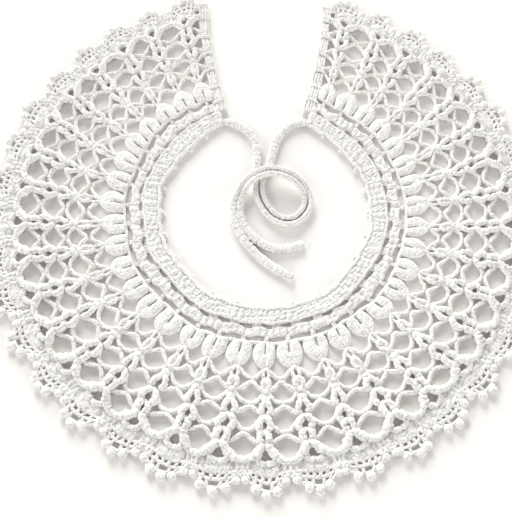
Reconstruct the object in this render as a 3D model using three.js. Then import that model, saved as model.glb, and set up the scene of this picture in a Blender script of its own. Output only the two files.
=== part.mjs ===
// A crocheted lace collar with two tie cords, laid flat with its back opening behind.
// Millimetres, +Z up, the front of the collar towards -Y. The origin is under the middle of the lace's box.
import * as THREE from 'three';
import { mergeVertices } from 'three/addons/utils/BufferGeometryUtils.js';

// Driving dimensions
const COLUMNS = 35;              // repeats of the pattern round the collar, one leaf and one scallop each
const NECK_RADIUS = 64.3;        // inner edge of the neckband
const BAND_RADIUS = 74;          // neckband to beading row
const LEAF_BASE_RADIUS = 86;     // beading row to leaf ring
const LEAF_TIP_RADIUS = 100.8;   // tips of the leaves
const LEAF_CLEFT_RADIUS = 93.6;  // clefts between the leaves
const EDGING_RADIUS = 143.4;     // net yoke to scalloped edging
const VALLEY_RADIUS = 162.5;     // between two scallops
const SCALLOP_RADIUS = 170.4;    // tips of the scallops
const SEAM = 0.3;                // gap between pieces at a seam
const END_COLUMN = 17.42;        // where the rows stop, counted in columns from the front
const END_EDGING_WIDTH = 7;
const END_EDGING_TOP = 161;      // radius where the end edging stops, at the last valley
const CORD_WIDTH = 3.6;

const THICKNESS = { neckband: 3.2, beading: 2.2, leaves: 3, net: 2.2, edging: 2.6, ends: 2.6 };

// The rows are nearly concentric: the smaller ones lie a little nearer the front and fan a little less.
const FULL_RADIUS = 146;         // the row whose centre is the centre of the plan
const FORWARD_PER_MM = 0.063;    // how far a row's centre moves to the front for each mm that it is smaller
const FULL_PITCH = THREE.MathUtils.degToRad(9.264);
const PITCH_PER_MM = THREE.MathUtils.degToRad(0.00486);

const LACE_COLOUR = 0xf3f1ea;
const CORD_COLOUR = 0xf1eee6;

const lace = (colour = LACE_COLOUR) =>
  new THREE.MeshStandardMaterial({ color: colour, roughness: 0.92, metalness: 0 });

/** Angle of a column at a radius, from the front, positive to the right. */
function columnAngle(column, radius) {
  return column * (FULL_PITCH + PITCH_PER_MM * (radius - FULL_RADIUS));
}

/** Plan point of a column at a radius, moved sideways round the collar by an offset in mm. */
function planPoint(column, radius, sideways = 0) {
  const angle = columnAngle(column, radius);
  const centre = -FORWARD_PER_MM * (FULL_RADIUS - radius);
  const x = radius * Math.sin(angle) + sideways * Math.cos(angle);
  const y = centre - radius * Math.cos(angle) + sideways * Math.sin(angle);
  return new THREE.Vector2(x, y);
}

/** A flat wall between two rails of plan points, counted the same way, from z = 0 up to its thickness. */
function wallBetween(name, inner, outer, thickness) {
  const outline = new THREE.Shape([...outer, ...[...inner].reverse()]);
  const geometry = new THREE.ExtrudeGeometry(outline, { depth: thickness, steps: 1, bevelEnabled: false });
  return closedMesh(name, geometry, lace());
}

/** A named mesh whose shared vertices are merged. */
function closedMesh(name, geometry, material) {
  geometry.deleteAttribute('normal');
  geometry.deleteAttribute('uv');
  const merged = mergeVertices(geometry, 1e-4);
  merged.computeVertexNormals();
  const mesh = new THREE.Mesh(merged, material);
  mesh.name = name;
  return mesh;
}

/** Plan points along a row from one end of the collar to the other, with a radius that may change. */
function rowRail(radiusAt, stepsPerColumn) {
  const steps = COLUMNS * stepsPerColumn;
  return Array.from({ length: steps + 1 }, (_, i) => {
    const column = THREE.MathUtils.lerp(-END_COLUMN, END_COLUMN, i / steps);
    return planPoint(column, radiusAt(column));
  });
}

/** The wavy seam between the leaves and the net: tips on whole columns, clefts between them. */
function leafSeam(column) {
  const middle = (LEAF_TIP_RADIUS + LEAF_CLEFT_RADIUS) / 2;
  const swing = (LEAF_TIP_RADIUS - LEAF_CLEFT_RADIUS) / 2;
  return middle + swing * Math.cos(2 * Math.PI * column);
}

/** The scalloped outer edge, one arch for each column. */
function scallopEdge(column) {
  return VALLEY_RADIUS + (SCALLOP_RADIUS - VALLEY_RADIUS) * Math.abs(Math.cos(Math.PI * column));
}

/** One C-shaped row of the collar as a wall. */
function rowWall(name, innerAt, outerAt, stepsPerColumn, thickness) {
  return wallBetween(name, rowRail(innerAt, stepsPerColumn), rowRail(outerAt, stepsPerColumn), thickness);
}

/** The worked edge along one end of the rows, beside the back opening. side is -1 on the left, 1 on the right. */
function endEdging(name, side) {
  const seams = [BAND_RADIUS + SEAM, LEAF_BASE_RADIUS, leafSeam(END_COLUMN), EDGING_RADIUS, END_EDGING_TOP];
  const rail = (offset) => seams.map((radius) => planPoint(side * END_COLUMN, radius, side * offset));
  return wallBetween(name, rail(SEAM), rail(SEAM + END_EDGING_WIDTH), THICKNESS.ends);
}

// The ties lie side by side: in from the two ends of the neckband, once round a loop, over themselves and out
// to their free ends. Columns: x, y, height of the middle of the cord.
const CORD_RADIUS = CORD_WIDTH / 2;
const LOW = CORD_RADIUS + 0.1;
const LEFT_TIE = [
  [-27.4, 55.6, LOW], [-23.4, 55.4, LOW], [-19.5, 54.0, LOW], [-14.4, 51.2, LOW], [-9.8, 46.9, LOW],
  [-6.8, 41.1, LOW], [-5.4, 35.0, LOW], [-5.0, 28.6, LOW], [-5.2, 22.0, LOW], [-5.8, 15.6, LOW],
  [-5.9, 9.5, LOW], [-5.2, 1.3, LOW], [-1.9, -6.7, LOW], [3.3, -13.2, LOW], [10.8, -16.9, LOW],
  [18.6, -16.0, LOW], [25.0, -10.3, LOW], [28.0, -2.2, LOW], [26.1, 6.4, 2.9], [20.8, 12.9, 4.7],
  [12.2, 17.4, 6.1], [2.8, 18.8, 6.5], [-6.1, 16.0, 6.3], [-12.8, 10.6, 5.0], [-17.4, 3.0, 3.2],
  [-19.7, -5.2, LOW], [-19.2, -13.3, LOW], [-15.8, -21.8, LOW], [-11.5, -28.9, LOW], [-6.2, -35.5, LOW],
  [0.9, -41.8, LOW], [8.7, -47.3, LOW], [16.4, -51.5, LOW],
];
const RIGHT_TIE = [
  [27.4, 55.6, LOW], [23.2, 55.6, LOW], [19.2, 54.5, LOW], [14.2, 51.7, LOW], [9.8, 47.0, LOW],
  [6.9, 41.1, LOW], [5.2, 34.6, LOW], [3.6, 28.0, LOW], [1.7, 21.5, LOW], [-0.6, 15.2, LOW],
  [-1.9, 9.2, LOW], [-1.3, 2.2, LOW], [1.5, -4.7, LOW], [5.9, -10.1, LOW], [11.5, -12.9, LOW],
  [17.0, -12.3, LOW], [21.7, -8.1, LOW], [24.0, -1.9, LOW], [22.6, 4.6, 2.9], [18.3, 9.9, 4.7],
  [11.0, 13.6, 6.1], [3.0, 14.9, 6.5], [-4.2, 12.6, 6.3], [-9.9, 8.0, 5.0], [-13.7, 1.6, 3.2],
  [-15.4, -6.5, LOW], [-14.1, -14.6, LOW], [-10.4, -22.4, LOW], [-4.4, -28.2, LOW], [2.7, -32.0, LOW],
  [10.3, -32.8, LOW], [18.0, -31.5, LOW], [23.4, -29.5, LOW],
];
const CORD_STEPS = 60;
const CORD_SIDES = 8;

/** A tie cord: an eight-sided section carried along a smooth curve through the rows of its table. */
function tieCord(name, table) {
  const route = new THREE.CatmullRomCurve3(table.map(([x, y, z]) => new THREE.Vector3(x, y, z)));
  const corners = Array.from({ length: CORD_SIDES }, (_, i) => {
    const turn = (i + 0.5) * 2 * Math.PI / CORD_SIDES;
    return new THREE.Vector2(CORD_RADIUS * Math.cos(turn), CORD_RADIUS * Math.sin(turn));
  });
  const section = new THREE.Shape(corners);
  const geometry = new THREE.ExtrudeGeometry(section, { steps: CORD_STEPS, extrudePath: route });
  return closedMesh(name, geometry, lace(CORD_COLOUR));
}

const constant = (radius) => () => radius;

const cloth = new THREE.Group();
cloth.add(
  rowWall('neckband', constant(NECK_RADIUS), constant(BAND_RADIUS), 2, THICKNESS.neckband),
  rowWall('beading_row', constant(BAND_RADIUS + SEAM), constant(LEAF_BASE_RADIUS), 2, THICKNESS.beading),
  rowWall('leaf_ring', constant(LEAF_BASE_RADIUS + SEAM), leafSeam, 4, THICKNESS.leaves),
  rowWall('net_yoke', (c) => leafSeam(c) + SEAM * 1.4, constant(EDGING_RADIUS), 4, THICKNESS.net),
  rowWall('scallop_edging', constant(EDGING_RADIUS + SEAM), scallopEdge, 6, THICKNESS.edging),
  endEdging('end_edging_left', -1),
  endEdging('end_edging_right', 1),
);

const laceBox = new THREE.Box3().setFromObject(cloth);
const middle = laceBox.getCenter(new THREE.Vector3());

const collar = new THREE.Group();
collar.add(cloth, tieCord('tie_left', LEFT_TIE), tieCord('tie_right', RIGHT_TIE));
collar.position.set(-middle.x, -middle.y, 0);
collar.updateMatrixWorld(true);

export default collar;
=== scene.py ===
# %% [markdown]
# # A crocheted lace collar
# The collar is worked in rows from the neck outwards: a ribbed neckband, a row of slits and blocks, a
# ring of leaves, a net yoke and a scalloped edge. Every row repeats the same column of stitches 35 times.
# So this script describes one column in two numbers, how far across the column and how far from the neck,
# and one function places it round the collar. The first cell loads the fixed frame that the looks are
# built around.

# %% Load the frame
import math

import bpy
import numpy as np
from mathutils import Matrix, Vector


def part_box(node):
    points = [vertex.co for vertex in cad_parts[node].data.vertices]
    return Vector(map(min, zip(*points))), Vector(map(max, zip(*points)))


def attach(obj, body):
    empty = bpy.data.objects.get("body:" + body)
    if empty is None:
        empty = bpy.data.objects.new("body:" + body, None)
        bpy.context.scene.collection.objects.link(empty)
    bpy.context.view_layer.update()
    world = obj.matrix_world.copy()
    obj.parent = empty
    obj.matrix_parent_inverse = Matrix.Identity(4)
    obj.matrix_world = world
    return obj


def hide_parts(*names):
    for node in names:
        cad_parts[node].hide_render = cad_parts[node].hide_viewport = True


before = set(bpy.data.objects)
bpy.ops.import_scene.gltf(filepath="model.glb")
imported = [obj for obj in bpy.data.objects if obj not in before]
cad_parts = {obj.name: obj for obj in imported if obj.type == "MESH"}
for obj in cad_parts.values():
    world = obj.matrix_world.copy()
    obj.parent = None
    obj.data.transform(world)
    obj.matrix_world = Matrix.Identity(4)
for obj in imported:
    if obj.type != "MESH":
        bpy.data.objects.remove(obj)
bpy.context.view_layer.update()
MM = 0.001
print("nodes:", sorted(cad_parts))

# %% [markdown]
# The rows are nearly concentric. A smaller row lies a little nearer the front and fans out a little less,
# because the neck edge is drawn in when the collar is laid down. A curve modifier could bend a straight
# strip of lace round, but it would stretch the stitches. The plan function instead turns a column number
# and a radius into a place. A slow drift, made of a few long waves, moves the stitches by about half a
# millimetre, so that no two columns are alike, and neighbouring stitches still meet because they drift
# together.

# %% Plan of the collar
COLUMNS = 35
END_COLUMN = 17.42                      # the last stitches, counted in columns from the front
FULL_RADIUS = 146.0                     # the row that isn't drawn in
FORWARD_PER_MM = 0.063                  # how far a row slides forward for each mm that it is smaller
FULL_PITCH = math.radians(9.264)        # the angle of one column in the full row
PITCH_PER_MM = math.radians(0.00486)    # how much that angle grows with the radius
NECK_RADIUS = 64.3
BAND_RADIUS = 74.0
LEAF_BASE_RADIUS = 86.0
EDGING_RADIUS = 143.4
SCALLOP_RADIUS = 170.4

front_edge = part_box("scallop_edging")[0][1] / MM
CENTRE_Y = front_edge + SCALLOP_RADIUS - FORWARD_PER_MM * (SCALLOP_RADIUS - FULL_RADIUS)

rng = np.random.default_rng(7)
WAVES = 9
DRIFT_SIZE = 0.30                       # mm, the most that one wave moves a stitch
wave_length = rng.uniform(14, 45, WAVES)
wave_heading = rng.uniform(0, 2 * math.pi, WAVES)
wave_start = rng.uniform(0, 2 * math.pi, (2, WAVES))
wave_size = DRIFT_SIZE * rng.uniform(0.5, 1.0, WAVES)


def drift(x, y, part):
    """A sum of long sine waves over the plan. part 0 and 1 give the two directions of the drift."""
    along = x[..., None] * np.cos(wave_heading) + y[..., None] * np.sin(wave_heading)
    return (wave_size * np.sin(2 * math.pi * along / wave_length + wave_start[part])).sum(-1)


def plan(column, radius):
    """The place in mm of a column at a radius: a circle whose centre slides forward as it shrinks."""
    column, radius = np.broadcast_arrays(np.asarray(column, float), np.asarray(radius, float))
    angle = column * (FULL_PITCH + PITCH_PER_MM * (radius - FULL_RADIUS))
    x = radius * np.sin(angle)
    y = CENTRE_Y - FORWARD_PER_MM * (FULL_RADIUS - radius) - radius * np.cos(angle)
    return x + drift(x, y, 0), y + drift(x, y, 1)


def column_width(radius):
    """Width of one column in mm at a radius."""
    return radius * (FULL_PITCH + PITCH_PER_MM * (radius - FULL_RADIUS))


print("centre of the rows at y =", round(CENTRE_Y, 2), "mm")

# %% [markdown]
# The camera looks down steeply from in front of the collar, with the back opening at the top of the view.
# It is set from the point it looks at, its distance, its height angle, a small turn to one side and a
# slight tilt about its own axis. Its matrix is built from those, because a tracking constraint can't hold
# the tilt.

# %% Camera
LOOK_AT = (-4.51, -38.8)        # mm on the floor, from the centre of the rows, before the turn
DISTANCE = 316.4
ELEVATION = math.radians(69.0)
ROLL = math.radians(1.88)
TURN = math.radians(-1.5)
LENS = 37.7
SENSOR = 36.0


def turned(vector):
    """A vector turned about the vertical by TURN."""
    x, y, z = vector
    c, s = math.cos(TURN), math.sin(TURN)
    return np.array([x * c - y * s, x * s + y * c, z])


back = turned((0, -math.cos(ELEVATION), math.sin(ELEVATION)))
level = turned((1, 0, 0))
upright = np.cross(back, level)
right = math.cos(ROLL) * level + math.sin(ROLL) * upright
up = math.cos(ROLL) * upright - math.sin(ROLL) * level
aim = turned((LOOK_AT[0], LOOK_AT[1], 0)) + np.array([0, CENTRE_Y, 0])
eye = (aim + back * DISTANCE) * MM

camera_data = bpy.data.cameras.new("camera")
camera_data.lens = LENS
camera_data.sensor_width = SENSOR
camera_data.sensor_fit = "HORIZONTAL"
camera = bpy.data.objects.new("camera", camera_data)
bpy.context.scene.collection.objects.link(camera)
camera.matrix_world = Matrix([[*row] for row in np.vstack([
    np.column_stack([right, up, back, eye]), [0, 0, 0, 1]])])
bpy.context.scene.camera = camera
print("camera at", np.round(eye, 4))

# %% [markdown]
# Every shape here is a loft: a stack of closed rings joined side by side, with a fan of triangles over
# each end. A crochet strand, a leaf and the whole neckband are all lofts and differ only in their rings.
# A curve with a round bevel would make a strand too, but neither a leaf nor a band. A Skein gathers the
# lofts of one piece as whole arrays and turns them into one mesh. Each face corner also gets a UV:
# millimetres along the strand, and the share of the way round.

# %% Lofts and meshes
class Skein:
    """Gathers lofts and builds one mesh from them."""

    def __init__(self):
        self.points, self.quads, self.quad_uvs, self.fans, self.fan_uvs = [], [], [], [], []
        self.count = 0

    def loft(self, rings, along):
        """Joins rings, shaped (copies, steps, sides, 3), into closed skins.

        along is the distance in mm at each ring, shaped (copies, steps), and goes into the UV.
        """
        copies, steps, sides, _ = rings.shape
        grid = self.count + np.arange(copies * steps * sides).reshape(copies, steps, sides)
        turned_grid = np.roll(grid, -1, axis=2)
        quads = np.stack([grid[:, :-1], turned_grid[:, :-1], turned_grid[:, 1:], grid[:, 1:]], -1)
        share = np.arange(sides + 1) / sides
        low, high = share[:-1], share[1:]
        a = np.broadcast_to(along[:, :-1, None], (copies, steps - 1, sides))
        b = np.broadcast_to(along[:, 1:, None], (copies, steps - 1, sides))
        low, high = np.broadcast_to(low, a.shape), np.broadcast_to(high, a.shape)
        uvs = np.stack([np.stack([a, low], -1), np.stack([a, high], -1),
                        np.stack([b, high], -1), np.stack([b, low], -1)], -2)
        poles = np.stack([rings[:, 0].mean(1), rings[:, -1].mean(1)], 1)
        pole = self.count + copies * steps * sides + np.arange(copies * 2).reshape(copies, 2)
        start_pole = np.broadcast_to(pole[:, :1], (copies, sides))
        end_pole = np.broadcast_to(pole[:, 1:], (copies, sides))
        first = np.stack([turned_grid[:, 0], grid[:, 0], start_pole], -1)
        last = np.stack([grid[:, -1], turned_grid[:, -1], end_pole], -1)
        self.points += [rings.reshape(-1, 3), poles.reshape(-1, 3)]
        self.quads.append(quads.reshape(-1, 4))
        self.quad_uvs.append(uvs.reshape(-1, 4, 2))
        fans = np.concatenate([first.reshape(-1, 3), last.reshape(-1, 3)])
        self.fans.append(fans)
        self.fan_uvs.append(np.zeros((len(fans), 3, 2)))
        self.count += copies * steps * sides + copies * 2

    def mesh(self, name):
        """One smooth mesh from all the lofts, in metres."""
        points = np.concatenate(self.points) * MM
        points[:, 2] = np.maximum(points[:, 2], 0.0)
        quads, fans = np.concatenate(self.quads), np.concatenate(self.fans)
        data = bpy.data.meshes.new(name)
        data.vertices.add(len(points))
        data.vertices.foreach_set("co", points.ravel())
        corners = np.concatenate([quads.ravel(), fans.ravel()])
        data.loops.add(len(corners))
        data.loops.foreach_set("vertex_index", corners.astype(np.int32))
        starts = np.concatenate([np.arange(len(quads)) * 4, len(quads) * 4 + np.arange(len(fans)) * 3])
        data.polygons.add(len(starts))
        data.polygons.foreach_set("loop_start", starts.astype(np.int32))
        data.update(calc_edges=True)
        layer = data.uv_layers.new(name="strand")
        uvs = np.concatenate([np.concatenate(self.quad_uvs).reshape(-1, 2),
                              np.concatenate(self.fan_uvs).reshape(-1, 2)])
        layer.data.foreach_set("uv", uvs.ravel())
        data.polygons.foreach_set("use_smooth", np.ones(len(starts), bool))
        data.validate()
        piece = bpy.data.objects.new(name, data)
        bpy.context.scene.collection.objects.link(piece)
        triangles = len(quads) * 2 + len(fans)
        print(f"{name}: {triangles} triangles")
        return piece


# %% [markdown]
# A strand needs a smooth line through a few points, and at each step a sideways and an upward direction.
# A Catmull-Rom curve passes through all its points, which a B-spline doesn't, so a table can say just
# where the yarn runs. The sideways direction is kept level, so that an oval section doesn't roll over.

# %% Smooth lines
def smooth_line(rows, steps):
    """A Catmull-Rom curve through the rows of a table: each stretch blends four neighbouring rows."""
    rows = np.asarray(rows, float)
    padded = np.vstack([2 * rows[0] - rows[1], rows, 2 * rows[-1] - rows[-2]])
    at = np.linspace(0, len(rows) - 1, steps)
    i = np.minimum(at.astype(int), len(rows) - 2)
    t = (at - i)[:, None]
    p0, p1, p2, p3 = padded[i], padded[i + 1], padded[i + 2], padded[i + 3]
    return 0.5 * (2 * p1 + (p2 - p0) * t + (2 * p0 - 5 * p1 + 4 * p2 - p3) * t ** 2
                  + (3 * p1 - p0 - 3 * p2 + p3) * t ** 3)


def frames_along(paths):
    """Distance along each path, and its sideways and upward directions."""
    tangent = np.gradient(paths, axis=1)
    tangent /= np.linalg.norm(tangent, axis=-1, keepdims=True) + 1e-12
    sideways = np.cross(tangent, [0, 0, 1.0])
    sideways /= np.linalg.norm(sideways, axis=-1, keepdims=True) + 1e-9
    upward = np.cross(sideways, tangent)
    step = np.linalg.norm(np.diff(paths, axis=1), axis=-1)
    along = np.concatenate([np.zeros((len(paths), 1)), np.cumsum(step, axis=1)], axis=1)
    return along, sideways, upward


# %% [markdown]
# Worked cotton is never smooth. Two plies twist round each other, each stitch of a chain swells and
# narrows again, and all of it is a little lumpy. A displacement modifier could add that afterwards, but
# it would need many more faces. Here all three are waves in the strand's radius. The lumps are waves
# through space, so strands that touch swell together.

# %% Lumps and twisted strands
LUMP_WAVES = 6
LUMP_PEAK = 1.6         # how far the sum of the waves goes past its usual size
KNOB_LENGTH = 2.3       # mm from one knob of a worked chain to the next
KNOB_SIZE = 0.09        # how much a knob adds to the radius
lump_direction = rng.normal(0, 1, (LUMP_WAVES, 3))
lump_direction /= np.linalg.norm(lump_direction, axis=1)[:, None]
lump_direction *= 2 * math.pi / rng.uniform(1.6, 3.2, LUMP_WAVES)[:, None]
lump_start = rng.uniform(0, 2 * math.pi, LUMP_WAVES)


def lumps(points):
    """Lumps from about -1 to 1 with the size of a stitch: a sum of short sine waves through space."""
    return np.sin(points @ lump_direction.T + lump_start).sum(-1) / math.sqrt(LUMP_WAVES / 2) / LUMP_PEAK


def twisted_tube(skein, paths, width, height, sides, lay, ridge=0.06, lump=0.20, tip=0.62):
    """A two-ply strand along paths (copies, steps, 3), with half its width and height at each step.

    Its radius is 1, plus a two-sided ridge that turns once in two lays, plus knobs and lumps.
    """
    along, sideways, upward = frames_along(paths)
    round_ = np.arange(sides) * 2 * math.pi / sides
    turn = math.pi * along[..., None] / lay
    knobs = KNOB_SIZE * np.cos(2 * math.pi * along[..., None] / KNOB_LENGTH)
    bulge = 1 + ridge * np.cos(2 * (round_ - turn)) + knobs
    steps = paths.shape[1]
    taper = np.ones(steps)
    taper[0] = taper[-1] = tip
    width = (np.broadcast_to(width, (steps,)) * taper)[None, :, None]
    height = (np.broadcast_to(height, (steps,)) * taper)[None, :, None]
    across = (width * np.cos(round_))[..., None] * sideways[:, :, None]
    over = (height * np.sin(round_))[..., None] * upward[:, :, None]
    skin = across + over
    bulge = bulge + lump * lumps(paths[:, :, None] + skin)
    skein.loft(paths[:, :, None] + skin * bulge[..., None], along)


# %% [markdown]
# A stitch table gives one column's strands: the yarn's radius, how far it is lifted, and the points that
# it runs through, as the share of a column and the radius in mm. An array modifier could repeat the
# column, but every copy would be the same. The strand function mirrors a stitch to the other half of its
# column and puts it in every column, all copies at once, and the plan makes each copy drift a little.

# %% Strands
ALL_COLUMNS = np.arange(COLUMNS) - (COLUMNS - 1) / 2
STEP = 0.95             # mm between the rings of a strand
FLATNESS = 0.88         # a strand's height over its width
REST = 0.15             # mm that a strand's underside clears the floor by
PAIR_YARN = 0.62        # each strand of a pair, as a share of one thick strand
PAIR_SPACING = 1.62     # the distance between a pair's strands, in radii
PAIR_GATHER = 0.45      # how much nearer the strands of a pair come at both ends


def strand(skein, points, yarn, plies=1, lift=0.0, mirrored=True, columns=ALL_COLUMNS, sides=7,
           step=STEP):
    """Repeats a stitch. points has rows of column share, radius and, if wanted, extra height in mm."""
    rows = np.array([list(p) + [0.0] * (3 - len(p)) for p in points])
    width = column_width(rows[:, 1].mean())
    spans = np.hypot(np.diff(rows[:, 0]) * width, np.diff(rows[:, 1]))
    steps = max(5, int(math.ceil(spans.sum() / step)) + 1)
    line = smooth_line(rows, steps)
    ply_yarn = yarn if plies == 1 else yarn * PAIR_YARN
    spread = (1 - PAIR_GATHER * np.linspace(-1, 1, steps) ** 4)[None, :, None]
    for side in ((1, -1) if mirrored else (1,)):
        x, y = plan(columns[:, None] + side * line[None, :, 0], line[None, :, 1])
        z = np.broadcast_to(ply_yarn * FLATNESS + REST + lift + line[:, 2], x.shape)
        paths = np.stack([x, y, z], -1)
        _, sideways, _ = frames_along(paths)
        for ply in range(plies):
            offset = (ply - (plies - 1) / 2) * ply_yarn * PAIR_SPACING
            moved = paths + sideways * offset * spread
            twisted_tube(skein, moved, ply_yarn, ply_yarn * FLATNESS, sides=sides, lay=1.9 + 0.5 * ply_yarn)


print(f"a column is {column_width(NECK_RADIUS):.1f} mm wide at the neck and "
      f"{column_width(SCALLOP_RADIUS):.1f} mm at the rim")

# %% [markdown]
# Where stitches are drawn together they make a knot, and a round of chain runs round the whole collar.
# Both are the same tube as a strand. A knot is a short one that swells and closes again, so it needs no
# sphere, and a ring strand is a long one whose radius may rise and fall with the column.

# %% Knots and rounds
KNOT_TOP = 1.35         # mm, the most that half a knot's height may be


def knot(skein, share, radius, half_width, half_length, lift=0.0, mirrored=False, columns=ALL_COLUMNS):
    """A lump where stitches are drawn together: a short loft whose width follows half an ellipse."""
    along = np.sin(np.linspace(-math.pi / 2, math.pi / 2, 8))
    profile = np.sqrt(np.clip(1 - along ** 2, 0.02, 1))
    height = min(KNOT_TOP, half_width * 0.8)
    for side in ((1, -1) if mirrored else (1,)):
        x, y = plan((columns + side * share)[:, None], radius + half_length * along[None, :])
        paths = np.stack([x, y, np.full_like(x, REST + height * 0.95 + lift)], -1)
        twisted_tube(skein, paths, half_width * profile, height * profile, sides=9, lay=9.0, ridge=0.0,
                     lump=0.15, tip=1.0)


def ring_strand(skein, radius_at, yarn=1.0, lift=0.0, step=0.75, sides=7):
    """A strand round the whole collar at a radius that may change with the column."""
    length = 2 * END_COLUMN * column_width(radius_at(np.zeros(1))[0])
    column = np.linspace(-END_COLUMN, END_COLUMN, int(length / step))
    x, y = plan(column, radius_at(column))
    paths = np.stack([x, y, np.full_like(x, yarn * FLATNESS + REST + lift)], -1)[None]
    twisted_tube(skein, paths, yarn, yarn * FLATNESS, sides=sides, lay=2.4)


# %% [markdown]
# Stitches packed side by side merge, and only their tops show. They are a relief: a grid of heights over
# the plan, closed by a few points along a flat underside. A patch is such a relief in the shape of a fan.
# Its points across are spaced by a sine, so that the rounded sides get more of them than the middle.

# %% Patches
PATCH_ROWS, PATCH_ACROSS = 12, 31
PATCH_EDGE = 0.3        # mm, the thickness of a patch at its rim
UNDERSIDE = 0.1         # mm from the floor to a flat underside
GRAIN = 0.28            # mm, the height of the lumps on a worked surface


def flat_bottomed(x, y, top, underside):
    """Closed rings across a cloth: every point of its top, then three points back along its underside."""
    upper = np.stack([x, y, top], -1)
    lower = np.stack([x, y, np.full_like(x, underside)], -1)[..., [-2, x.shape[-1] // 2, 1], :]
    return np.concatenate([upper, lower], axis=-2)


def patch(skein, centre, half, inner, outer, bow, ribs, height, columns=ALL_COLUMNS):
    """A closed fan of stitches: a dome times cosine ribs, with rows that bow outwards by bow in mm."""
    share = np.linspace(0, 1, PATCH_ROWS)[:, None]
    side = np.sin(np.linspace(-math.pi / 2, math.pi / 2, PATCH_ACROSS))[None, :]
    half_width = half[0] + (half[1] - half[0]) * share
    column = columns[:, None, None] + centre + (half_width * side)[None]
    radius = inner + (outer - inner) * share + bow * (1 - side ** 2)
    x, y = plan(column, np.broadcast_to(radius[None], column.shape))
    rim = np.sqrt(1 - 0.9 * np.abs(side) ** 5) * (1 - 0.35 * np.abs(2 * share - 1) ** 4)
    stitches = 0.62 + 0.38 * np.abs(np.cos(0.5 * math.pi * ribs * side))
    top = PATCH_EDGE + height * rim * stitches + GRAIN * lumps(np.stack([x, y, 0 * x], -1))
    rings = flat_bottomed(x, y, np.maximum(top, PATCH_EDGE), UNDERSIDE)
    skein.loft(rings, np.broadcast_to((share * (outer - inner))[:, 0], rings.shape[:2]))


# %% [markdown]
# Crochet cotton is matt, off-white and tightly plied. Seen close, a strand shows faint slanting plies and
# a fine grain of fibres, and their hollows lie in shade, a little warmer and darker. Faces that small
# would be far too many, so a bump makes them. The group below takes the plies from the strand's own UV
# and the grain from a fine noise on object coordinates, and puts out a height for the bump and a tone.
# The tone holds painted shade, darker wherever the height is low, and slow patches of the cotton's own
# colour.

# %% Cotton yarn as a node group
FIBRE_HEIGHT = 1.3      # the fibres' share of the height
PAINTED_FIBRE_SHADE = 3.2        # the contrast of the painted shade in the fibres' hollows
PAINTED_PLY_SHADE = 0.12         # the share of the tone that is painted shade in the grooves between the plies
CLOUD_TONE = 0.5        # the share of slow, large patches
CLOUD_SCALE = 90        # patches in a metre
MIDDLE_TONE = 0.2       # added, to bring the tone to the middle of its range


def yarn_group():
    """A shader node group: slanting plies and fine fibres, as a height and a tone of about 0 to 1.

    The tone is painted shade in the hollows of the plies and fibres, plus slow patches of colour.
    """
    group = bpy.data.node_groups.new("plied cotton", "ShaderNodeTree")
    for name, default in (("Ply length", 1.3), ("Fibre scale", 1400.0), ("Ply depth", 0.6)):
        socket = group.interface.new_socket(name=name, in_out="INPUT", socket_type="NodeSocketFloat")
        socket.default_value = default
    for name in ("Height", "Tone"):
        group.interface.new_socket(name=name, in_out="OUTPUT", socket_type="NodeSocketFloat")
    nodes, links = group.nodes, group.links

    def math_node(kind, a, b=None):
        """A math node: a number is set on its input, and a socket is linked to it."""
        node = nodes.new("ShaderNodeMath")
        node.operation = kind
        for socket, value in zip(node.inputs, (a, b)):
            if value is None:
                continue
            if isinstance(value, (int, float)):
                socket.default_value = value
            else:
                links.new(value, socket)
        return node.outputs[0]

    inputs = nodes.new("NodeGroupInput")
    outputs = nodes.new("NodeGroupOutput")
    strand_uv = nodes.new("ShaderNodeUVMap")
    strand_uv.uv_map = "strand"
    parts = nodes.new("ShaderNodeSeparateXYZ")
    links.new(strand_uv.outputs[0], parts.inputs[0])
    slant = math_node("ADD", math_node("DIVIDE", parts.outputs[0], inputs.outputs["Ply length"]),
                      math_node("MULTIPLY", parts.outputs[1], 2.0))
    wave = math_node("ABSOLUTE", math_node("SINE", math_node("MULTIPLY", slant, math.pi)))
    place = nodes.new("ShaderNodeTexCoord")
    fibre = nodes.new("ShaderNodeTexNoise")
    fibre.inputs["Detail"].default_value = 3
    links.new(place.outputs["Object"], fibre.inputs["Vector"])
    links.new(inputs.outputs["Fibre scale"], fibre.inputs["Scale"])
    cloud = nodes.new("ShaderNodeTexNoise")
    cloud.inputs["Scale"].default_value = CLOUD_SCALE
    links.new(place.outputs["Object"], cloud.inputs["Vector"])
    ply = math_node("MULTIPLY", wave, inputs.outputs["Ply depth"])
    height = math_node("ADD", ply, math_node("MULTIPLY", fibre.outputs["Fac"], FIBRE_HEIGHT))
    links.new(height, outputs.inputs["Height"])
    # Painted shade: the grain and the plies make the tone darker where they make the height low, in their
    # hollows. The clouds are slow patches of the cotton's own colour.
    grain = math_node("MULTIPLY", math_node("SUBTRACT", fibre.outputs["Fac"], 0.5), PAINTED_FIBRE_SHADE)
    clouds = math_node("MULTIPLY", cloud.outputs["Fac"], CLOUD_TONE)
    ply_shade_and_clouds = math_node("ADD", math_node("MULTIPLY", wave, PAINTED_PLY_SHADE), clouds)
    painted_shade_and_tone = math_node("ADD", grain, math_node("ADD", ply_shade_and_clouds, MIDDLE_TONE))
    links.new(painted_shade_and_tone, outputs.inputs["Tone"])
    return group


PLIED_COTTON = yarn_group()
print("node group:", PLIED_COTTON.name)

# %% [markdown]
# The lace is worked in one cotton and the ties in a slightly deeper, thicker one. Both put the group
# above into a plain shader with a high roughness and a faint sheen, because worked cotton scatters light
# and has no highlight. A ramp turns the tone into two close colours, so that the painted shade in the
# hollows comes out darker and warmer, and a bump turns the height into relief.

# %% The two cottons
FIBRE_SCALE = 1050.0    # fibres in a metre
BUMP = 0.6              # mm, the depth of the relief


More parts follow.
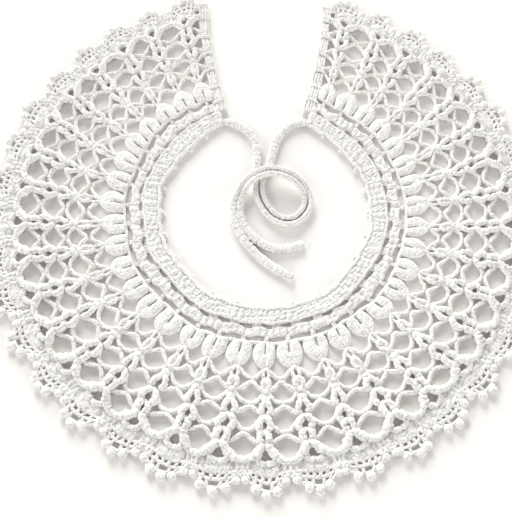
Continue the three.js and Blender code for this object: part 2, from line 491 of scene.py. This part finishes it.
def cotton(name, light, shade, ply_length, ply_depth):
    """A cotton material: two close tones, a soft sheen and a bump from the plied-cotton group.

    The darker tone is painted shade in the hollows, and it also colours the darker patches.
    """
    material = bpy.data.materials.new(name)
    material.use_nodes = True
    nodes, links = material.node_tree.nodes, material.node_tree.links
    shader = nodes["Principled BSDF"]
    shader.inputs["Roughness"].default_value = 0.88
    shader.inputs["Specular IOR Level"].default_value = 0.25
    shader.inputs["Sheen Weight"].default_value = 0.15
    shader.inputs["Sheen Roughness"].default_value = 0.5
    yarn = nodes.new("ShaderNodeGroup")
    yarn.node_tree = PLIED_COTTON
    yarn.inputs["Ply length"].default_value = ply_length
    yarn.inputs["Fibre scale"].default_value = FIBRE_SCALE
    yarn.inputs["Ply depth"].default_value = ply_depth
    # The ramp paints shade: a low tone, in the hollows of the plies and fibres, gets the shade colour.
    shade_and_tone_ramp = nodes.new("ShaderNodeValToRGB")
    shade_and_tone_ramp.color_ramp.elements[0].position = 0.0
    shade_and_tone_ramp.color_ramp.elements[0].color = (*shade, 1)
    shade_and_tone_ramp.color_ramp.elements[1].position = 0.75
    shade_and_tone_ramp.color_ramp.elements[1].color = (*light, 1)
    links.new(yarn.outputs["Tone"], shade_and_tone_ramp.inputs["Fac"])
    links.new(shade_and_tone_ramp.outputs["Color"], shader.inputs["Base Color"])
    relief = nodes.new("ShaderNodeBump")
    relief.inputs["Strength"].default_value = 0.7
    relief.inputs["Distance"].default_value = BUMP * MM
    links.new(yarn.outputs["Height"], relief.inputs["Height"])
    links.new(relief.outputs["Normal"], shader.inputs["Normal"])
    return material


# In both cottons the shade colour is painted shade in the hollows, and the colour of the darker patches.
LACE = cotton("lace_cotton", light=(0.93, 0.922, 0.90), shade=(0.64, 0.625, 0.59), ply_length=1.3,
              ply_depth=0.10)
CORD = cotton("cord_cotton", light=(0.90, 0.89, 0.868), shade=(0.58, 0.565, 0.535), ply_length=2.2,
              ply_depth=0.15)

# %% [markdown]
# Every piece is tied to the frame in the same way: it gets its material, rides on the one body and, as a
# rule, stands in for a node of the fixed model, which it hides. The second helper prints how much surface a
# cloth has for its flat size, which shows whether its relief is believable.

# %% Finishing a piece
def finish_piece(piece, material, slot, *nodes):
    """Gives a piece its material and body, and hides the nodes that it stands for. slot is not used."""
    piece.data.materials.append(material)
    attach(piece, "root")
    if nodes:
        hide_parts(*nodes)


def cloth_share(piece, area):
    """Prints half of the piece's whole surface over its flat area in square metres."""
    total = sum(polygon.area for polygon in piece.data.polygons)
    print(f"{piece.name}: half its surface is {total / 2 / area:.2f} of its flat area")


# %% [markdown]
# The ties are flat crocheted cords. Both run in from the ends of the neckband, lie side by side round one
# loop, pass over themselves in a long low hump and end free. In the loop a flat cord stands up on its
# edge, and on the straight runs it lies down, so its section changes from tall and narrow to wide and
# low. A curve's bevel keeps one section all the way, so each cord is a loft along a smooth line, with a
# plait on its surface.

# %% The two ties
LOW = 1.9                       # mm, the height of the middle of the cord where it lies on the floor
# Columns: x, y from the centre of the rows, height of the middle of the cord.
LEFT_TIE = [
    (-27.4, 55.6, LOW), (-23.4, 55.4, LOW), (-19.5, 54.0, LOW), (-14.4, 51.2, LOW), (-9.8, 46.9, LOW),
    (-6.8, 41.1, LOW), (-5.4, 35.0, LOW), (-5.0, 28.6, LOW), (-5.2, 22.0, LOW), (-5.8, 15.6, LOW),
    (-5.9, 9.5, LOW), (-5.2, 1.3, LOW), (-1.9, -6.7, LOW), (3.3, -13.2, LOW), (10.8, -16.9, LOW),
    (18.6, -16.0, LOW), (25.0, -10.3, LOW), (28.0, -2.2, LOW), (26.1, 6.4, 2.9), (20.8, 12.9, 4.7),
    (12.2, 17.4, 6.1), (2.8, 18.8, 6.5), (-6.1, 16.0, 6.3), (-12.8, 10.6, 5.0), (-17.4, 3.0, 3.2),
    (-19.7, -5.2, LOW), (-19.2, -13.3, LOW), (-15.8, -21.8, LOW), (-11.5, -28.9, LOW), (-6.2, -35.5, LOW),
    (0.9, -41.8, LOW), (8.7, -47.3, LOW), (16.4, -51.5, LOW),
]
RIGHT_TIE = [
    (27.4, 55.6, LOW), (23.2, 55.6, LOW), (19.2, 54.5, LOW), (14.2, 51.7, LOW), (9.8, 47.0, LOW),
    (6.9, 41.1, LOW), (5.2, 34.6, LOW), (3.6, 28.0, LOW), (1.7, 21.5, LOW), (-0.6, 15.2, LOW),
    (-1.9, 9.2, LOW), (-1.3, 2.2, LOW), (1.5, -4.7, LOW), (5.9, -10.1, LOW), (11.5, -12.9, LOW),
    (17.0, -12.3, LOW), (21.7, -8.1, LOW), (24.0, -1.9, LOW), (22.6, 4.6, 2.9), (18.3, 9.9, 4.7),
    (11.0, 13.6, 6.1), (3.0, 14.9, 6.5), (-4.2, 12.6, 6.3), (-9.9, 8.0, 5.0), (-13.7, 1.6, 3.2),
    (-15.4, -6.5, LOW), (-14.1, -14.6, LOW), (-10.4, -22.4, LOW), (-4.4, -28.2, LOW), (2.7, -32.0, LOW),
    (10.3, -32.8, LOW), (18.0, -31.5, LOW), (23.4, -29.5, LOW),
]
FLAT_SECTION = (2.45, 1.35)     # half width and half height where the cord lies flat
EDGE_SECTION = (1.55, 1.85)     # the same where it stands on its edge
LOOP_FROM, LOOP_TO = 9.0, 24.0  # rows of the table between which the cords stand on edge
CORD_STEPS, CORD_SIDES = 360, 20
PLAIT_LENGTH = 3.0              # mm from one stitch of the plait to the next
END_ROUNDING = 2.0              # mm over which the ends grow round


def tie_cord(name, rows):
    """A flat cord: an oval carried along the smooth line through the rows, with a plait of sine lobes."""
    line = smooth_line(rows, CORD_STEPS)
    line[:, 1] += CENTRE_Y
    at = np.linspace(0, len(rows) - 1, CORD_STEPS)
    on_edge = np.clip(np.minimum((at - LOOP_FROM + 1) / 2, (LOOP_TO + 1 - at) / 2), 0, 1)
    on_edge = on_edge * on_edge * (3 - 2 * on_edge)
    half = np.array(FLAT_SECTION)[:, None] * (1 - on_edge) + np.array(EDGE_SECTION)[:, None] * on_edge
    along, sideways, upward = frames_along(line[None])
    turn = np.arange(CORD_SIDES) * 2 * math.pi / CORD_SIDES
    off_middle = np.abs(np.cos(turn))[None, :]
    plait = 0.20 * np.abs(np.sin(math.pi * along[0][:, None] / PLAIT_LENGTH + 1.4 * off_middle))
    groove = -0.10 * np.exp(-(off_middle / 0.22) ** 2)
    bulge = (0.90 + plait + groove) * (1 + 0.10 * lumps(line)[:, None])
    ends = np.minimum(along[0], along[0][-1] - along[0])
    rounding = np.sqrt(np.clip(1 - (1 - np.clip(ends / END_ROUNDING, 0, 1)) ** 2, 0.05, 1))
    across = (half[0] * rounding)[:, None] * bulge * np.cos(turn)
    over = (half[1] * rounding)[:, None] * bulge * np.sin(turn)
    middle = line.copy()
    middle[:, 2] += half[1] - LOW + REST
    rings = (middle[:, None] + across[..., None] * sideways[0][:, None]
             + over[..., None] * upward[0][:, None])
    skein = Skein()
    skein.loft(rings[None], along)
    piece = skein.mesh(name)
    finish_piece(piece, CORD, "cord_cotton", name.replace("_cord", ""))


tie_cord("tie_left_cord", LEFT_TIE)
tie_cord("tie_right_cord", RIGHT_TIE)

# %% [markdown]
# The neckband is worked so tightly that it is a solid ribbed cloth and not a net. Only the tops of its
# stitches show, so they needn't be built one by one: it is one loft that runs round the neck. Its ring is
# the band's cross-section, low at both edges, and the ribs are a wave that runs along the band.

# %% Ribbed band surface
BAND_EDGE = 0.25        # mm, the thickness of a band at its edges


def relief_band(skein, inner_at, outer_at, height_at, steps, across=20):
    """A closed band: its top is height_at(column, share across), times a rim that rounds both edges."""
    column = np.linspace(-END_COLUMN, END_COLUMN, steps)[:, None]
    share = np.linspace(0, 1, across)[None, :]
    inner, outer = inner_at(column), outer_at(column)
    radius = inner + (outer - inner) * share
    x, y = plan(np.broadcast_to(column, radius.shape), radius)
    rim = np.sqrt(np.clip(1 - (2 * share - 1) ** 6, 0.0, 1))
    top = BAND_EDGE + height_at(column, share) * rim + GRAIN * lumps(np.stack([x, y, 0 * x], -1)) * rim
    rings = flat_bottomed(x, y, top, UNDERSIDE)
    centre = rings.mean(1)
    along = np.concatenate([[0], np.cumsum(np.hypot(*np.diff(centre[:, :2], axis=0).T))])
    skein.loft(rings[None], along[None])


# %% [markdown]
# A chain finishes the neck edge, and a small picot, a loop of chain, stands on it every column and a half
# or so. A thinner chain runs round near the outer edge. Chains are real strands laid on the relief,
# because they stand above it and catch the light. At both ends, lumps of stitches gather the band to the
# tie.

# %% Neckband
RIBS_PER_COLUMN = 3
# Columns: column share, radius, extra height.
PICOT_LOOP = [
    (-0.10, 64.2, 0.4), (-0.07, 63.0, 0.4), (0.0, 62.5, 0.4), (0.07, 63.0, 0.4), (0.10, 64.2, 0.4),
]
PICOT_SPACING = 1.62            # columns from one picot to the next
CORNER_COLUMN = 17.47           # just past the last stitches, at both ends
# Columns: radius, half width, half length, extra height.
CORNER_KNOTS = [(66.6, 2.1, 3.2, 0.2), (71.4, 2.4, 4.0, 0.2), (76.0, 1.9, 3.0, 0.1)]


def neckband_height(column, share):
    """Ribs across the band, a deeper groove between groups of three, and faint lines along it."""
    wobble = 0.06 * np.sin(2.1 * column) + 0.05 * np.sin(5.3 * column + share * 3)
    rib = np.abs(np.sin(math.pi * (column + wobble + 0.5) * RIBS_PER_COLUMN)) ** 0.6
    group = np.abs(np.sin(math.pi * (column + wobble))) ** 0.35
    lines = 0.14 * np.sin(2 * math.pi * 3.5 * share + 2.0 * column)
    return 1.55 + 0.65 * rib + 0.45 * group + lines


neck = Skein()
chains = Skein()
relief_band(neck, lambda c: NECK_RADIUS + 0.9 + 0 * c, lambda c: BAND_RADIUS + 0.3 + 0.2 * np.sin(9 * c),
            neckband_height, steps=1500)
ring_strand(chains, lambda c: NECK_RADIUS + 0.35 + 0.2 * np.sin(6 * c), yarn=1.25, lift=0.5, step=0.5,
            sides=8)
ring_strand(chains, lambda c: BAND_RADIUS - 0.8 + 0.15 * np.sin(7 * c), yarn=0.8, lift=1.35, step=0.6)
picot_columns = np.arange(-16.2, 17, PICOT_SPACING)
strand(chains, PICOT_LOOP, yarn=0.95, mirrored=False, columns=picot_columns, step=0.4)
corners = np.array([-CORNER_COLUMN, CORNER_COLUMN])
for radius, half_width, half_length, lift in CORNER_KNOTS:
    knot(chains, 0.0, radius, half_width, half_length, lift, columns=corners)
neckband = neck.mesh("neckband_crochet")
finish_piece(neckband, LACE, "lace_cotton", "neckband")
neck_chains = chains.mesh("neck_chains_crochet")
finish_piece(neck_chains, LACE, "lace_cotton")
CHAIN_EDGE = 63.4               # the neck edge of the chain
band_flat = ((BAND_RADIUS - CHAIN_EDGE) * MM, 2 * END_COLUMN * column_width(69.0) * MM)
cloth_share(neckband, band_flat[0] * band_flat[1])

# %% [markdown]
# Outside the neckband, blocks of three tall stitches lean one way and the next. Long slits stay open on
# both sides of them, where a ribbon could run. The blocks touch, so together they are a second relief
# band, with wavy edges. Short thick stitches tie it to the neckband between the slits, and pairs of thin
# posts tie it to the leaves, and these are strands, because the floor shows between them.

# %% Beading row
def block_shift(column):
    """Each block leans: its ends move in and out by half a millimetre."""
    return 0.5 * np.sin(2 * math.pi * column + 0.6)


def block_height(column, share):
    """Three ribs to a block and a notch where two blocks meet."""
    ribs = np.abs(np.sin(math.pi * column * 3)) ** 0.7
    notch = np.abs(np.sin(math.pi * column)) ** 0.3
    return 0.75 + 0.55 * ribs + 0.75 * notch + 0.15 * np.sin(9 * share + 4 * column)


beading = Skein()
relief_band(beading, lambda c: 75.7 + block_shift(c) + 0.25 * np.cos(2 * math.pi * c),
            lambda c: 82.4 + block_shift(c) - 0.3 * np.cos(4 * math.pi * c), block_height, steps=1300,
            across=12)
strand(beading, [(0.37, 73.6, 0.3), (0.40, 75.6, 0.3), (0.44, 78.0, 0.3)], yarn=1.25, plies=2)
strand(beading, [(0.045, 81.4, 0.2), (0.035, 84.0, 0.2), (0.05, 86.6, 0.2)], yarn=0.8)
ring_strand(beading, lambda c: 86.2 + 0.25 * np.cos(2 * math.pi * c), yarn=1.0, lift=0.25)
beading_row = beading.mesh("beading_crochet")
finish_piece(beading_row, LACE, "lace_cotton", "beading_row")
beading_flat = ((LEAF_BASE_RADIUS - BAND_RADIUS) * MM, 2 * END_COLUMN * column_width(80.0) * MM)
cloth_share(beading_row, beading_flat[0] * beading_flat[1])

# %% [markdown]
# A leaf is a bunch of tall stitches that start apart, are drawn together at the tip and so stand up in
# two plump lobes with a slit between them. Strands side by side would look like separate cords, and in
# the real leaf they merge. So one leaf is a loft from its base to its tip, and its height is a dome with
# a groove down the middle, and a fainter groove between each pair of stitches. All 35 are worked out in
# one array.

# %% Leaf ring
LEAF_BASE, LEAF_TIP = 85.9, 101.6
LEAF_STEPS, LEAF_ACROSS = 34, 31
LEAF_HEIGHT = 2.6
LEAF_COLUMN = 14.5              # mm across a column, at the leaves
LEAF_EDGE, LEAF_LOWEST, LEAF_UNDERSIDE = 0.3, 0.25, 0.08
LEAF_GRAIN = 0.16               # mm, less than on the other rows, because a leaf is smoother
SLIT_FROM, SLIT_TO = 0.06, 0.50         # where the slit starts and ends, as shares of the leaf


def leaf_half_width(share):
    """Half width of a leaf in columns: full up to its waist, then round to the tip."""
    beyond = np.clip((share - 0.40) / 0.60, 0, 1)
    base = 0.40 + 0.095 * np.sqrt(np.clip(share / 0.30, 0, 1))
    return base * np.clip(1 - beyond ** 1.75, 0.004, 1) ** 0.85


def leaf_rings():
    """Rings across every leaf at once: the top is a grooved dome and the underside is flat."""
    share = np.linspace(0, 1, LEAF_STEPS) ** 0.9
    side = np.sin(np.linspace(-math.pi / 2, math.pi / 2, LEAF_ACROSS))
    half = leaf_half_width(share)
    column = ALL_COLUMNS[:, None, None] + half[None, :, None] * side
    radius = np.broadcast_to((LEAF_BASE + share * (LEAF_TIP - LEAF_BASE))[None, :, None], column.shape)
    x, y = plan(column, radius)
    off_middle = np.abs(half[:, None] * side) * LEAF_COLUMN
    slit = np.clip(np.minimum((share - SLIT_FROM) / 0.08, (SLIT_TO - share) / 0.12), 0, 1)[:, None]
    groove = 1 - (0.12 + 0.82 * slit) * np.exp(-(off_middle / (0.55 + 0.5 * (1 - slit))) ** 2)
    dome = (1 - np.abs(side[None, :]) ** 4.5) ** 0.5 * (1 - (share[:, None] * 1.04 - 0.42) ** 4 * 5)
    ribs = 0.06 * np.cos(off_middle * 2.9) * (1 - share[:, None] * 0.5)
    grain = LEAF_GRAIN * lumps(np.stack([x, y, 0 * x], -1))
    puff = rng.uniform(0.9, 1.08, (COLUMNS, 1, 1))
    top = LEAF_EDGE + LEAF_HEIGHT * puff * np.clip(dome, 0.06, 1) * groove + ribs + grain
    rings = flat_bottomed(x, y, np.maximum(top, LEAF_LOWEST), LEAF_UNDERSIDE)
    along = np.broadcast_to(share * (LEAF_TIP - LEAF_BASE), (COLUMNS, LEAF_STEPS))
    return rings, along


leaves = Skein()
leaves.loft(*leaf_rings())
leaf_ring = leaves.mesh("leaves_crochet")
finish_piece(leaf_ring, LACE, "lace_cotton", "leaf_ring")
leaf_flat = ((LEAF_TIP - LEAF_BASE) * MM, 2 * END_COLUMN * column_width(93.5) * MM)
LEAF_FILL = 0.86                # the share of the row that isn't gaps between the tips
leaf_area = LEAF_FILL * leaf_flat[0] * leaf_flat[1]
cloth_share(leaf_ring, leaf_area)

# %% [markdown]
# The net yoke is what makes the collar lace. Chain arcs sag outwards from each column and meet caps that
# arch inwards, and they leave four rows of rounded holes. The columns between the holes are posts and
# clusters that spread and close in turn, and grow thicker towards the edge. Holes cut in a sheet would
# have flat walls, so the net is made of its strands. The first table holds one half of a column, and the
# second the knots.

# %% Net yoke
# Columns: yarn, extra height, then the points (column share, radius).
NET_STITCHES = [
    (1.10, 0.2, [(0.02, 100.4), (0.10, 101.4), (0.20, 102.8), (0.29, 104.8), (0.39, 106.0), (0.52, 106.5)]),
    (1.05, 0.5, [(0.02, 99.6), (0.075, 101.6), (0.10, 103.6), (0.07, 105.4), (0.03, 106.8)]),
    (1.45, 0.4, [(0.04, 105.6), (0.09, 108.0), (0.10, 110.0), (0.04, 112.8)]),
    (1.10, 0.6, [(0.0, 113.2), (0.14, 112.8), (0.30, 111.1), (0.42, 109.2), (0.52, 108.4)]),
    (1.20, 0.2, [(0.02, 113.2), (0.09, 114.8), (0.16, 116.8), (0.25, 118.7), (0.37, 120.0), (0.52, 120.5)]),
    (1.80, 0.3, [(0.03, 119.0), (0.10, 121.6), (0.145, 124.2), (0.11, 126.8)]),
    (1.15, 0.6, [(0.10, 127.2), (0.28, 124.8), (0.42, 122.9), (0.52, 122.2)]),
    (1.25, 0.2, [(0.06, 128.2), (0.16, 130.6), (0.25, 133.0), (0.34, 134.7), (0.43, 135.5), (0.52, 135.7)]),
    (2.00, 0.4, [(0.03, 127.8), (0.12, 130.6), (0.165, 133.2), (0.10, 135.8)]),
    (2.10, 0.4, [(0.05, 135.4), (0.095, 137.4), (0.110, 139.4), (0.06, 142.0)]),
    (1.20, 0.5, [(0.04, 142.4), (0.2, 141.2), (0.31, 139.4), (0.42, 137.8), (0.52, 137.2)]),
]
# Columns: share, radius, half width, half length, extra height, whether both halves have one.
NET_KNOTS = [
    (0.0, 106.4, 1.3, 1.2, 0.5, False), (0.0, 108.8, 1.5, 2.0, 0.3, False),
    (0.0, 113.2, 2.0, 1.7, 0.5, False), (0.0, 117.8, 3.0, 3.2, 0.2, False),
    (0.12, 125.8, 2.0, 2.0, 0.3, True), (0.0, 128.2, 2.2, 1.5, 0.4, False),
    (0.15, 133.2, 1.7, 2.2, 0.4, True), (0.0, 136.0, 2.2, 1.5, 0.5, False),
    (0.10, 140.0, 1.6, 2.0, 0.4, True), (0.0, 142.6, 2.4, 2.0, 0.4, False),
]

net = Skein()
for yarn, lift, points in NET_STITCHES:
    strand(net, points, yarn=yarn, lift=lift)
for share, radius, half_width, half_length, lift, mirrored in NET_KNOTS:
    knot(net, share, radius, half_width, half_length, lift, mirrored)
net_yoke = net.mesh("net_crochet")
finish_piece(net_yoke, LACE, "lace_cotton", "net_yoke")
END_EDGING_WIDTH = 7.0
NET_INNER_RADIUS = 97.0
net_length = 2 * END_COLUMN * column_width(120.0) + 2 * END_EDGING_WIDTH
net_flat = ((EDGING_RADIUS - NET_INNER_RADIUS) * MM, net_length * MM)
cloth_share(net_yoke, net_flat[0] * net_flat[1])

# %% [markdown]
# Each scallop hangs from two thick posts round a drop-shaped hole. A fan of tall stitches spreads from
# the posts, and between two scallops the stitches crowd together. Both are so close that they are ribbed
# patches. Beyond them come the open rounds: three strands whose radius rises and falls with the scallop,
# and short stitches that tie them together and leave small openings. They are kept for the fringe in the
# next cell.

# %% Scalloped edging
def arch(column):
    """0 in the valleys between scallops and 1 at the middle of a scallop."""
    return np.abs(np.cos(math.pi * column))


# Columns: yarn, extra height, then the points (column share, radius).
EDGING_STITCHES = [
    (2.30, 0.3, [(0.02, 142.0), (0.085, 143.8), (0.16, 146.2), (0.21, 148.8)]),
    (2.10, 0.3, [(0.14, 144.6), (0.21, 146.6), (0.27, 148.4), (0.34, 149.8)]),
    (1.70, 0.2, [(0.28, 149.0), (0.36, 149.9), (0.44, 150.3), (0.52, 150.4)]),
    (1.60, 0.4, [(0.20, 148.6), (0.13, 151.2), (0.0, 152.4)]),
]
# The same columns, for the open rounds.
RIM_STITCHES = [
    (1.25, 0.3, [(0.44, 156.0), (0.43, 159.4)]),
    (1.15, 0.3, [(0.35, 156.2), (0.33, 159.8)]),
    (1.00, 0.3, [(0.22, 157.2), (0.19, 161.4)]),
    (1.00, 0.3, [(0.08, 158.0), (0.05, 162.4)]),
    (1.25, 0.3, [(0.39, 158.0), (0.37, 161.0)]),
    (1.00, 0.3, [(0.27, 160.4), (0.22, 164.0)]),
    (1.00, 0.3, [(0.11, 162.0), (0.12, 166.0)]),
]
EDGING_STEP = 0.8       # mm between the rings of a strand in the edging
edge = Skein()
for yarn, lift, points in EDGING_STITCHES:
    strand(edge, points, yarn=yarn, lift=lift, sides=8, step=EDGING_STEP)
patch(edge, centre=0.0, half=(0.30, 0.322), inner=149.6, outer=157.4, bow=2.3, ribs=11, height=2.3)
patch(edge, centre=0.5, half=(0.225, 0.195), inner=149.2, outer=158.8, bow=-0.6, ribs=4, height=2.0,
      columns=ALL_COLUMNS[:-1])
edging = edge.mesh("edging_crochet")

# %% [markdown]
# A picot is a little loop of chain that closes on itself, so from above it reads as a round bead. A ring
# with a hole too small to see would waste faces, so each one here is a lumpy oval knot. Their places vary
# a little, as a hand makes them. With the open rounds they are a fringe, which goes with the edging as
# one sheet.

# %% Picots along the rim
PICOT_SHARES = (-0.40, -0.21, 0.0, 0.21, 0.40)
PICOT_WANDER = 0.012            # how far a picot strays from its place, in columns
VALLEY_RADIUS, SCALLOP_RISE = 158.6, 9.2


def picots(skein):
    """Round beads of yarn on the rim: one lumpy oval in every column for each share."""
    for share in PICOT_SHARES:
        reach = math.cos(math.pi * share)
        shares = share + rng.normal(0, PICOT_WANDER, COLUMNS)
        size = 2.25 + 0.4 * reach
        knot(skein, shares, VALLEY_RADIUS + SCALLOP_RISE * reach, size * 1.08, size, lift=0.15)


rim = Skein()
picots(rim)
for yarn, lift, points in RIM_STITCHES:
    strand(rim, points, yarn=yarn, lift=lift, step=EDGING_STEP)
ring_strand(rim, lambda c: 156.4 + 1.7 * arch(c), yarn=0.95, lift=0.5, step=0.85)
ring_strand(rim, lambda c: 157.6 + 4.4 * arch(c), yarn=0.95, lift=0.4, step=0.85)
ring_strand(rim, lambda c: 158.6 + 7.6 * arch(c), yarn=1.0, lift=0.3, step=0.9)
picot_rim = rim.mesh("picots_crochet")
finish_piece(edging, LACE, "lace_cotton", "scallop_edging")
finish_piece(picot_rim, LACE, "lace_cotton")
EDGING_OUTER = 163.0            # about the mean radius of the scalloped outline
edging_flat = ((EDGING_OUTER - EDGING_RADIUS) * MM, 2 * END_COLUMN * column_width(153.0) * MM)
cloth_share(edging, edging_flat[0] * edging_flat[1])

# %% [markdown]
# Along both ends the rows are closed with a ladder: a small block of stitches in every row, and a bar of
# chain between two blocks that stands out a little past them. Each block is three upright strands side by
# side. They are made by the strand function, with one end column in place of all 35, so they follow the
# rows.

# %% End edgings
# Columns: radius where a block starts and ends.
BLOCKS = [(76.0, 81.5), (83.0, 92.5), (94.5, 104.5), (107.5, 118.5), (121.5, 132.5), (135.0, 146.5),
          (149.0, 158.0)]
BARS = [74.8, 82.2, 93.5, 106.0, 120.0, 133.8, 147.8, 159.4]
END_SHARE = 0.42                # where the net stops in its last column
LAST_COLUMN = 17.0


def end_edging(name, side, node):
    """Blocks of upright strands side by side, and the bars between them, along one end."""
    skein = Skein()
    style = {"mirrored": False, "columns": np.array([side * LAST_COLUMN]), "sides": 8}

    def share_at(out, radius):
        """The column share that lies out mm beyond the end of the net, at a radius."""
        return side * (END_SHARE + out / column_width(radius))

    for low, high in BLOCKS:
        middle = 0.5 * (low + high)
        for k in range(3):
            share = share_at(1.0 + 1.75 * k, middle)
            points = [(share, low, 0.0), (share + side * 0.02, middle, 0.15), (share, high, 0.0)]
            strand(skein, points, yarn=1.0, lift=0.3, step=0.5, **style)
    for radius in BARS:
        bar = [(side * 0.34, radius, 0.1), (share_at(3.0, radius), radius + 0.2, 0.3),
               (share_at(7.2, radius), radius - 0.2, 0.1)]
        strand(skein, bar, yarn=1.1, lift=0.5, step=0.5, **style)
    outer = [(share_at(6.4, r), r, 0.05 * math.sin(r)) for r in np.linspace(75, 159.5, 22)]
    strand(skein, outer, yarn=0.8, lift=0.1, step=0.6, **style)
    piece = skein.mesh(name)
    finish_piece(piece, LACE, "lace_cotton", node)
    return piece


end_left = end_edging("end_left_crochet", -1, "end_edging_left")
end_right = end_edging("end_right_crochet", 1, "end_edging_right")

# %% [markdown]
# The collar lies on a plain, almost white floor. One large square is enough, with a matt finish that
# takes the soft shadows and shows no highlight. It is no part of the collar.

# %% Floor
FLOOR_HALF = 3.0        # m
FLOOR_DROP = 0.0002     # m that the floor lies under the lace, so that no two faces fight
floor_mesh = bpy.data.meshes.new("floor")
floor_mesh.from_pydata([(-FLOOR_HALF, -FLOOR_HALF, 0), (FLOOR_HALF, -FLOOR_HALF, 0),
                        (FLOOR_HALF, FLOOR_HALF, 0), (-FLOOR_HALF, FLOOR_HALF, 0)], [], [(0, 1, 2, 3)])
floor = bpy.data.objects.new("floor", floor_mesh)
bpy.context.scene.collection.objects.link(floor)
floor.location.z = -FLOOR_DROP
paper = bpy.data.materials.new("paper")
paper.use_nodes = True
paper_inputs = paper.node_tree.nodes["Principled BSDF"].inputs
paper_inputs["Base Color"].default_value = (0.94, 0.922, 0.895, 1)
paper_inputs["Roughness"].default_value = 1.0
paper_inputs["Specular IOR Level"].default_value = 0.0
floor_mesh.materials.append(paper)

# %% [markdown]
# The strongest lamp is broad and soft, and stands low behind the collar, so its shadows fall towards the
# front. Three weak ones stand as low on the other sides. A bright sky would be the simplest fill, but it
# shines straight down through the holes and bleaches them. Low lamps all round leave the floor in the
# holes grey and light the strands, so the sky can be dim.

# %% Lamps and sky
SKY_STRENGTH = 0.21


def sun_lamp(name, azimuth, elevation, energy, spread):
    """A sun lamp that shines from an azimuth, counted from +X, and a height, both in degrees."""
    azimuth, elevation = math.radians(azimuth), math.radians(elevation)
    to_sun = np.array([math.cos(elevation) * math.cos(azimuth), math.cos(elevation) * math.sin(azimuth),
                       math.sin(elevation)])
    level_side = np.cross([0, 0, 1.0], to_sun)
    level_side /= np.linalg.norm(level_side)
    data = bpy.data.lights.new(name, "SUN")
    data.energy = energy
    data.angle = math.radians(spread)
    data.color = (1.0, 0.992, 0.98)
    lamp = bpy.data.objects.new(name, data)
    bpy.context.scene.collection.objects.link(lamp)
    lamp.matrix_world = Matrix([[*row] for row in np.vstack([
        np.column_stack([level_side, np.cross(to_sun, level_side), to_sun, to_sun * 2]), [0, 0, 0, 1]])])


sun_lamp("window", azimuth=102, elevation=18, energy=4.5, spread=30)
for name, azimuth in (("left fill", 178), ("right fill", 2), ("front fill", 262)):
    sun_lamp(name, azimuth, elevation=18, energy=1.75, spread=40)

world = bpy.data.worlds.new("studio")
bpy.context.scene.world = world
world.use_nodes = True
world.node_tree.nodes["Background"].inputs["Color"].default_value = (1.0, 0.99, 0.97, 1)
world.node_tree.nodes["Background"].inputs["Strength"].default_value = SKY_STRENGTH
bpy.context.scene.view_settings.view_transform = "Standard"
bpy.context.scene.view_settings.exposure = 0.0
